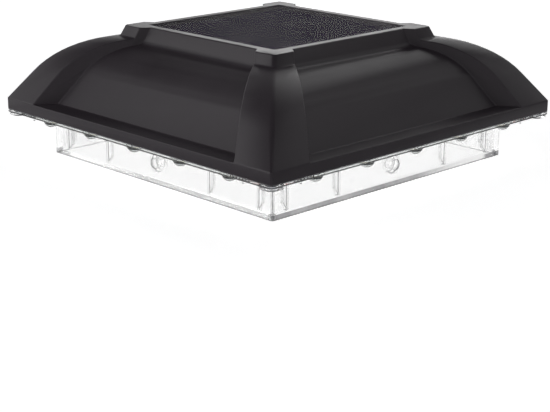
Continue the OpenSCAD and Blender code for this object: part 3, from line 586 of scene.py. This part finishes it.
def lamp_chip():
    """Pale phosphor in a white cup."""
    made = Finish("lamp chip", (0.80, 0.76, 0.62), 0.35)
    patches = made.group(GRAIN, Patch_Scale=900.0).outputs["Patches"]
    made.feed("Base Color", made.blend(patches, (0.76, 0.71, 0.55), (0.86, 0.83, 0.70)))
    return made.material


def wires(name, split):
    """Sleeved wires, red on the high side of x = split and black on the low side."""
    made = Finish(name, (0.45, 0.02, 0.015), 0.38)
    x, _, _ = made.axes()
    grain = made.group(GRAIN, Grain_Scale=2500.0, Patch_Scale=120.0)
    red = made.blend(grain.outputs["Patches"], (0.38, 0.015, 0.012), (0.50, 0.03, 0.02))
    black = made.blend(grain.outputs["Patches"], (0.018, 0.018, 0.02), (0.03, 0.03, 0.032))
    made.feed("Base Color", made.blend(made.work("GREATER_THAN", x, split), black, red))
    made.bump(grain.outputs["Height"], 0.15, 0.01 * MM)
    return made.material


def cell_sleeve():
    """Shrunk blue sleeve on the round cell, with bare metal at both ends."""
    made = Finish("cell sleeve", (0.03, 0.14, 0.42), 0.22)
    x, _, _ = made.axes()
    low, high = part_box("battery_cell")
    sleeve = made.product(made.work("GREATER_THAN", x, low.x + CELL_END_LOW),
                          made.work("LESS_THAN", x, high.x - CELL_END_HIGH))
    grain = made.group(GRAIN, Grain_Scale=700.0, Patch_Scale=60.0)
    tone = made.blend(grain.outputs["Patches"], (0.025, 0.12, 0.38), (0.035, 0.16, 0.46))
    made.feed("Base Color", made.blend(sleeve, (0.62, 0.62, 0.60), tone))
    made.feed("Metallic", made.work("SUBTRACT", 1.0, sleeve))
    made.bump(grain.outputs["Height"], 0.12, 0.02 * MM)
    return made.material


def wound_coil():
    """Copper winding between two ferrite flanges."""
    made = Finish("wound coil", (0.35, 0.13, 0.05), 0.3)
    _, _, z = made.axes()
    low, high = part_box("power_coil")
    winding = made.product(made.work("GREATER_THAN", z, low.z + COIL_FLANGE),
                           made.work("LESS_THAN", z, high.z - COIL_FLANGE))
    turns = made.work("PINGPONG", z, COIL_HALF_TURN)
    made.feed("Base Color", made.blend(winding, (0.035, 0.034, 0.036), (0.42, 0.16, 0.06)))
    made.feed("Metallic", made.product(winding, 0.7))
    made.bump(made.product(turns, 1 / MM), 0.5, 0.2 * MM)
    return made.material


FINISHES = {
    "roof_plastic": moulded("roof plastic", ROOF_DARK, ROOF_LIGHT, ROOF_ROUGHNESS),
    "base_plastic": moulded("base plastic", BASE_DARK, BASE_LIGHT, BASE_ROUGHNESS,
                            grain_scale=1100.0, grain_height=0.05 * MM),
    "clear_plastic": clear_plastic(),
    "panel_cover": panel_laminate(),
    "cells": cell_wafer(),
    "backing_board": moulded("backing board", (0.005, 0.005, 0.007), (0.008, 0.008, 0.010), 0.5,
                             specular=0.0),
    "sealant": rubber("sealant", (0.70, 0.69, 0.65), (0.78, 0.77, 0.73)),
    "seal_rubber": rubber("seal rubber", (0.035, 0.035, 0.036), (0.055, 0.055, 0.056)),
    "strip_board": strip_board(),
    "lamp_chip": lamp_chip(),
    "circuit_board": circuit_board(),
    "chip_black": moulded("chip package", (0.015, 0.015, 0.016), (0.025, 0.025, 0.026), 0.45),
    "coil": wound_coil(),
    "capacitor_sleeve": moulded("capacitor sleeve", (0.015, 0.018, 0.04), (0.02, 0.025, 0.055), 0.25),
    "socket_plastic": moulded("socket plastic", (0.70, 0.68, 0.60), (0.78, 0.76, 0.68), 0.45, edge_highlight=0.1),
    "switch_case": metal("switch case", (0.62, 0.63, 0.64), 0.32),
    "switch_knob": moulded("switch knob", (0.66, 0.66, 0.64), (0.74, 0.74, 0.72), 0.4, edge_highlight=0.1),
    "cell_sleeve": cell_sleeve(),
    "contact_metal": metal("nickel contact", (0.70, 0.68, 0.63), 0.24),
    "screw_steel": metal("zinc screw", (0.60, 0.61, 0.63), 0.3),
}


def set_finish(piece, material):
    """Gives a whole piece one material."""
    if piece.material_slots:
        piece.material_slots[0].material = material
    else:
        piece.data.materials.append(material)


def deepen_domes(shape):
    """Deepens the twenty lens domes and leans them outwards, but keeps the circle at the flange."""
    lean = Matrix.Identity(4)
    lean[2][2] = DOME_DEEPEN
    lean[1][2] = DOME_DEEPEN * DOME_LEAN
    for quarter in range(4):
        turn = Matrix.Rotation(quarter * math.pi / 2, 4, "Z")
        for place in range(-LAMPS_BESIDE, LAMPS_BESIDE + 1):
            centre = turn @ Vector((place * LAMP_PITCH, -LAMP_LINE, FLANGE_LOW))
            dome = [v for v in shape.verts
                    if v.co.z < FLANGE_LOW and (v.co - centre).xy.length < DOME_RADIUS + FACE_SLACK]
            to_lamp = Matrix.Translation(centre) @ turn
            bmesh.ops.transform(shape, matrix=to_lamp @ lean @ to_lamp.inverted(), verts=dome)
            for face in {face for vert in dome for face in vert.link_faces}:
                face.material_index = LENS_SLOT


def collar_edge_share(far, near, height):
    """Full width on the flange's lower edge, none where a corner pad squeezes it, and less elsewhere."""
    if abs(height - FLANGE_LOW) > LEVEL_SLACK or far < FLANGE_EDGE_FROM:
        return THIN_EDGE_SHARE
    if far > PAD_OUTER:
        return 0.0 if near > PAD_INNER else THIN_EDGE_SHARE
    return 1.0


def roof_edge_share(far, near, height):
    """Full width, but none on the short arcs at the rim's corners."""
    return 0.0 if near > RIM_CORNER else 1.0


def choose_edges(shape, sharpest, share):
    """Marks the edges sharper than an angle for rounding, each with its share of the full width."""
    mark = shape.edges.layers.float.new("bevel_weight_edge")
    for edge in shape.edges:
        if edge.is_manifold and edge.calc_face_angle() > sharpest:
            middle = (edge.verts[0].co + edge.verts[1].co) / 2
            near, far = sorted((abs(middle.x), abs(middle.y)))
            edge[mark] = share(far, near, middle.z)


def finished_copy(node, name, width, slot, segments=2, change=None, share=None, extra=()):
    """A merged copy of a CAD node with rounded edges and smooth curved faces, which stands for the node."""
    source = nodes[node]
    shape = bmesh.new()
    shape.from_mesh(source.data)
    bmesh.ops.remove_doubles(shape, verts=shape.verts, dist=MERGE_DISTANCE)
    bmesh.ops.dissolve_limit(shape, angle_limit=FLAT_ANGLE, verts=shape.verts, edges=shape.edges)
    if change:
        change(shape)
    if share:
        choose_edges(shape, CLEAR_EDGE_ANGLE if extra else EDGE_ANGLE, share)
    mesh = bpy.data.meshes.new(name)
    shape.to_mesh(mesh)
    shape.free()
    mesh.shade_smooth()
    mesh.set_sharp_from_angle(angle=SMOOTH_ANGLE)
    piece = bpy.data.objects.new(name, mesh)
    bpy.context.scene.collection.objects.link(piece)
    for material in (FINISHES[slot], *extra):
        mesh.materials.append(material)
    rounding = piece.modifiers.new("rounded edges", "BEVEL")
    rounding.width = width
    rounding.segments = segments
    rounding.limit_method = "WEIGHT" if share else "ANGLE"
    rounding.angle_limit = EDGE_ANGLE
    rounding.use_clamp_overlap = not share
    rounding.harden_normals = True
    if extra:
        # The rounded edges take the painted edge shade
        rounding.material = EDGE_SLOT
    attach(piece, source["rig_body"])
    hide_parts(node)


finished_copy("roof_cap", "roof_shell", ROOF_EDGE, "roof_plastic", segments=3, share=roof_edge_share)
finished_copy("lens_collar", "clear_collar", COLLAR_EDGE, "clear_plastic",
              change=deepen_domes, share=collar_edge_share, extra=(clear_edge(), clear_lens()))
ROUNDED = (
    ("panel_cover", "panel_laminate", SMALL_EDGE, "panel_cover"),
    ("base_plate", "base_tray", SMALL_EDGE, "base_plastic"),
    ("battery_door", "battery_lid", SMALL_EDGE, "base_plastic"),
    ("base_screws", "tray_screws", TINY_EDGE, "screw_steel"),
    ("collar_screws", "corner_screws", TINY_EDGE, "screw_steel"),
    ("door_screws", "lid_screws", TINY_EDGE, "screw_steel"),
    ("board_screws", "small_screws", TINY_EDGE, "screw_steel"),
    ("battery_cell", "round_cell", TINY_EDGE, "cell_sleeve"),
    ("switch_slider", "switch_knob", SMALL_EDGE, "switch_knob"),
)
for node, name, width, slot in ROUNDED:
    finished_copy(node, name, width, slot)

NODE_FINISH = {
    "solar_cells": "cells", "panel_backing": "backing_board", "panel_sealant": "sealant",
    "rim_seal": "seal_rubber", "base_seal": "seal_rubber", "door_seal": "seal_rubber",
    "led_strip_front": "strip_board", "led_strip_right": "strip_board", "led_strip_back": "strip_board",
    "led_strip_left": "strip_board", "led_chips": "lamp_chip", "main_board": "circuit_board",
    "controller_chip": "chip_black", "power_coil": "coil", "capacitor": "capacitor_sleeve",
    "lead_sockets": "socket_plastic", "switch_body": "switch_case", "contact_plate": "contact_metal",
    "contact_spring": "contact_metal",
}
for node, finish in NODE_FINISH.items():
    set_finish(nodes[node], FINISHES[finish])
# Where the wires of each lead part into red and black, the strips' own wires being all red
WIRE_SPLITS = {"battery_leads": -13 * MM, "panel_lead": 0.0, "led_lead": 13 * MM, "strip_link_wires": -1.0}
for node, split in WIRE_SPLITS.items():
    set_finish(nodes[node], wires(node.replace("_", " "), split))


def floor_finish():
    """Lit near the light for its shadow, white far off and to clear plastic, and clear from below."""
    made = Finish("pale floor", FLOOR_COLOR, FLOOR_ROUGHNESS, Specular_IOR_Level=0.0)
    tree = made.tree
    ray = tree.nodes.new("ShaderNodeLightPath")
    x, y, _ = made.axes()
    past_clear = made.work("GREATER_THAN", ray.outputs["Transparent Depth"], 0.5)
    through = made.work("MAXIMUM", ray.outputs["Is Transmission Ray"], past_clear)
    to_screen = made.work("ADD", x, y)
    kept = made.ranged(to_screen, *FLOOR_DIMS, FLOOR_MIRRORED, FLOOR_MIRRORED * FLOOR_SCREENED)
    mirrored = made.product(ray.outputs["Is Glossy Ray"], kept)
    white_share = made.product(made.work("MAXIMUM", through, mirrored), FLOOR_WHITE)
    white = add_node(tree, "ShaderNodeEmission", Color=WHITE, Strength=1.0)
    glow = add_node(tree, "ShaderNodeEmission", Color=WHITE)
    away = add_node(tree, "ShaderNodeVectorMath", operation="LENGTH")
    tree.links.new(made.point(), away.inputs[0])
    level = made.ranged(away.outputs["Value"], *FLOOR_WHITENS, FLOOR_GLOW, 1.0)
    tree.links.new(level, glow.inputs["Strength"])
    ground = tree.nodes.new("ShaderNodeAddShader")
    tree.links.new(made.shader.outputs[0], ground.inputs[0])
    tree.links.new(glow.outputs[0], ground.inputs[1])
    lit = mix_shaders(tree, ray.outputs["Is Camera Ray"], made.shader.outputs[0], ground.outputs[0])
    seen = mix_shaders(tree, white_share, lit, white.outputs[0])
    from_below = tree.nodes.new("ShaderNodeNewGeometry").outputs["Backfacing"]
    clear = tree.nodes.new("ShaderNodeBsdfTransparent")
    one_sided = mix_shaders(tree, from_below, seen, clear.outputs[0])
    tree.links.new(one_sided, made.output.inputs[0])
    return made.material


def make_floor():
    """Pale floor under the light."""
    shape = bmesh.new()
    bmesh.ops.create_grid(shape, x_segments=1, y_segments=1, size=FLOOR_HALF)
    mesh = bpy.data.meshes.new("floor")
    shape.to_mesh(mesh)
    shape.free()
    floor = bpy.data.objects.new("floor", mesh)
    bpy.context.scene.collection.objects.link(floor)
    mesh.materials.append(floor_finish())


def make_world():
    """White to the camera, in reflections and through clear plastic, and a soft even light elsewhere."""
    world = bpy.data.worlds.new("studio")
    bpy.context.scene.world = world
    world.use_nodes = True
    tree = world.node_tree
    ray = tree.nodes.new("ShaderNodeLightPath")
    place = tree.nodes.new("ShaderNodeTexCoord")
    apart = tree.nodes.new("ShaderNodeSeparateXYZ")
    tree.links.new(place.outputs["Generated"], apart.inputs[0])
    x, y, z = apart.outputs
    backdrop = ranged(tree, z, *BACKDROP_RISE, 1.0, CEILING_LEVEL)
    screened = ranged(tree, math_node(tree, "ADD", x, y), *SCREEN_TURN, 0.0, 1.0)
    screen = math_node(tree, "MULTIPLY", screened, SCREEN_LEVEL)
    open_part = math_node(tree, "MULTIPLY", backdrop, math_node(tree, "SUBTRACT", 1.0, screened))
    around = math_node(tree, "ADD", open_part, screen)
    mirrored = math_node(tree, "MULTIPLY", ray.outputs["Is Glossy Ray"], around)
    seen = math_node(tree, "MAXIMUM", ray.outputs["Is Camera Ray"], ray.outputs["Is Transmission Ray"])
    soft = math_node(tree, "MULTIPLY", ray.outputs["Is Diffuse Ray"], WORLD_LEVEL)
    level = math_node(tree, "MAXIMUM", math_node(tree, "MAXIMUM", seen, mirrored), soft)
    tree.links.new(level, tree.nodes["Background"].inputs["Strength"])
    tree.nodes["Background"].inputs["Color"].default_value = WHITE


def soft_light(name, at, towards, width, height, power):
    """A rectangular softbox that the camera doesn't see."""
    data = bpy.data.lights.new(name, "AREA")
    data.shape = "RECTANGLE"
    data.size = width
    data.size_y = height
    data.energy = power
    lamp = bpy.data.objects.new(name, data)
    bpy.context.scene.collection.objects.link(lamp)
    lamp.location = at
    lamp.rotation_mode = "QUATERNION"
    lamp.rotation_quaternion = (Vector(towards) - Vector(at)).to_track_quat("-Z", "Y")
    lamp.visible_camera = False
    lamp.visible_transmission = False


def make_camera():
    """The photograph's camera."""
    data = bpy.data.cameras.new("camera")
    data.lens = LENS
    data.sensor_width = SENSOR_WIDTH
    data.clip_start = NEAREST
    camera = bpy.data.objects.new("camera", data)
    bpy.context.scene.collection.objects.link(camera)
    camera.location = CAMERA_AT
    camera.rotation_mode = "QUATERNION"
    facing = (Vector(LOOKS_AT) - Vector(CAMERA_AT)).to_track_quat("-Z", "Y")
    camera.rotation_quaternion = facing @ Quaternion((0, 0, 1), CAMERA_ROLL)
    bpy.context.scene.camera = camera


make_camera()
make_world()
make_floor()
for softbox in SOFTBOXES:
    soft_light(*softbox)
bpy.context.scene.view_settings.view_transform = "Standard"
